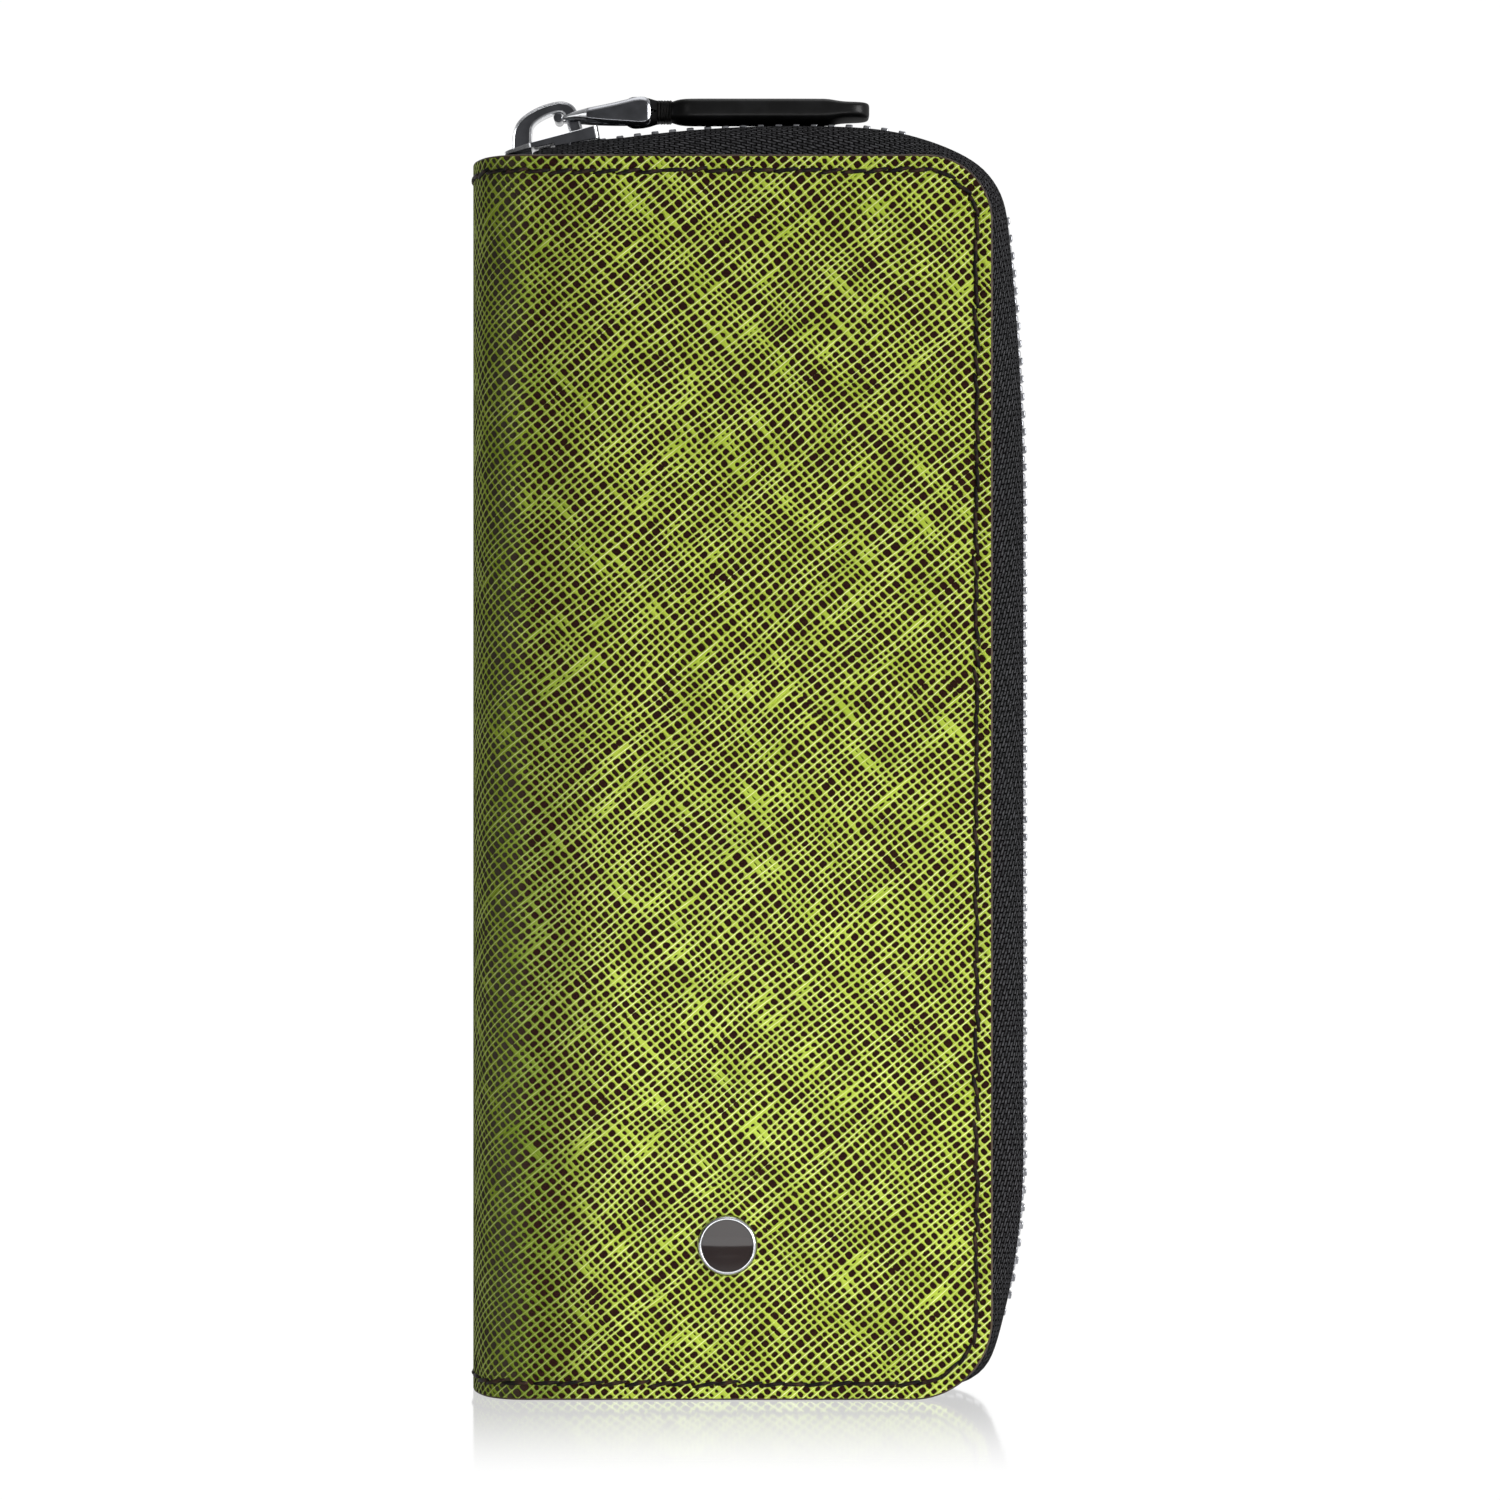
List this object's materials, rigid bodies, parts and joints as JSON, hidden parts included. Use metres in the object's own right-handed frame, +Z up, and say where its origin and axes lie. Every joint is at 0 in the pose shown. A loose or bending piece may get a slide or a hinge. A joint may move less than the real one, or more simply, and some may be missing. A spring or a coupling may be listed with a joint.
{
  "type": "zip-around fountain pen case",
  "caption": "Slim upright pen case: hatched green leather covers on a soft round spine, closed by a metal zip with a leather pull, with pen sleeves and a slip pocket inside.",
  "frame": {"origin": "under the middle of the whole case's box, at the height of the lower leather edges that it stands on", "axes": "+Z up along the height, +X from the round spine to the side with the zip, +Y out of the back cover, so the front cover with the badge faces -Y"},
  "size_m": [0.0722, 0.0228, 0.1688],
  "materials": {
    "green_leather": "calf pressed with two slanting sets of fine ridges, ridges lime green, pits dark brown, semi-gloss",
    "inner_leather": "smooth black calf, matt",
    "tab_leather": "smooth black leather, slightly glossy",
    "lining_suede": "black microsuede, matt",
    "cover_board": "grey-brown board",
    "zip_tape": "black woven zip tape, coarse twill",
    "zip_metal": "nickel plated teeth",
    "pull_metal": "dark ruthenium plated casting with polished bevels",
    "badge_metal": "polished",
    "badge_resin": "plain dark resin, polished dome",
    "seam_thread": "waxed black-brown thread"
  },
  "bodies": {
    "back_half": {"back_cover": "green_leather", "back_board": "cover_board", "back_lining": "lining_suede", "back_stitching": "seam_thread", "back_zip_tape": "zip_tape", "back_zip_teeth": "zip_metal", "back_zip_stops": "zip_metal", "left_pen_sleeve": "inner_leather", "right_pen_sleeve": "inner_leather", "sleeve_stitching": "seam_thread"},
    "spine": {"spine_cover": "green_leather", "spine_lining": "lining_suede", "spine_stitching": "seam_thread"},
    "front_half": {"front_cover": "green_leather", "front_board": "cover_board", "front_lining": "lining_suede", "front_stitching": "seam_thread", "front_zip_tape": "zip_tape", "front_zip_teeth": "zip_metal", "front_zip_stops": "zip_metal", "front_pocket": "inner_leather", "pocket_stitching": "seam_thread", "badge_rim": "badge_metal", "badge_inlay": "badge_resin", "badge_washer": "badge_metal"},
    "zip_slider": {"slider_body": "pull_metal", "slider_crown": "pull_metal"},
    "zip_pull": {"pull_link": "pull_metal"},
    "pull_tab": {"tab_strap": "tab_leather", "tab_core": "tab_leather", "tab_binding": "seam_thread"}
  },
  "joints": [
    {"name": "spine_fold", "type": "hinge", "parent": "back_half", "child": "spine", "pos_m": [-0.03248, 0.011, 0.08], "axis": [0, 0, -1], "range_deg": [0, 90]},
    {"name": "front_fold", "type": "hinge", "parent": "spine", "child": "front_half", "pos_m": [-0.03248, -0.011, 0.08], "axis": [0, 0, -1], "range_deg": [0, 90]},
    {"name": "slider_run", "type": "hinge", "parent": "back_half", "child": "zip_slider", "pos_m": [0.00588, 0, 0.0046], "axis": [0, 1, 0], "range_deg": [0, 13.4], "deforming": ["front_zip_teeth", "back_zip_teeth"]},
    {"name": "pull_swing", "type": "hinge", "parent": "zip_slider", "child": "zip_pull", "pos_m": [-0.02504, 0, 0.16604], "axis": [0, -1, 0], "range_deg": [0, 150]},
    {"name": "tab_swing", "type": "hinge", "parent": "zip_pull", "child": "pull_tab", "pos_m": [-0.01488, 0, 0.16693], "axis": [0, -1, 0], "range_deg": [0, 35]}
  ],
  "couplings": [
    {"joint": "front_fold", "follows": "spine_fold", "ratio": 1}
  ]
}
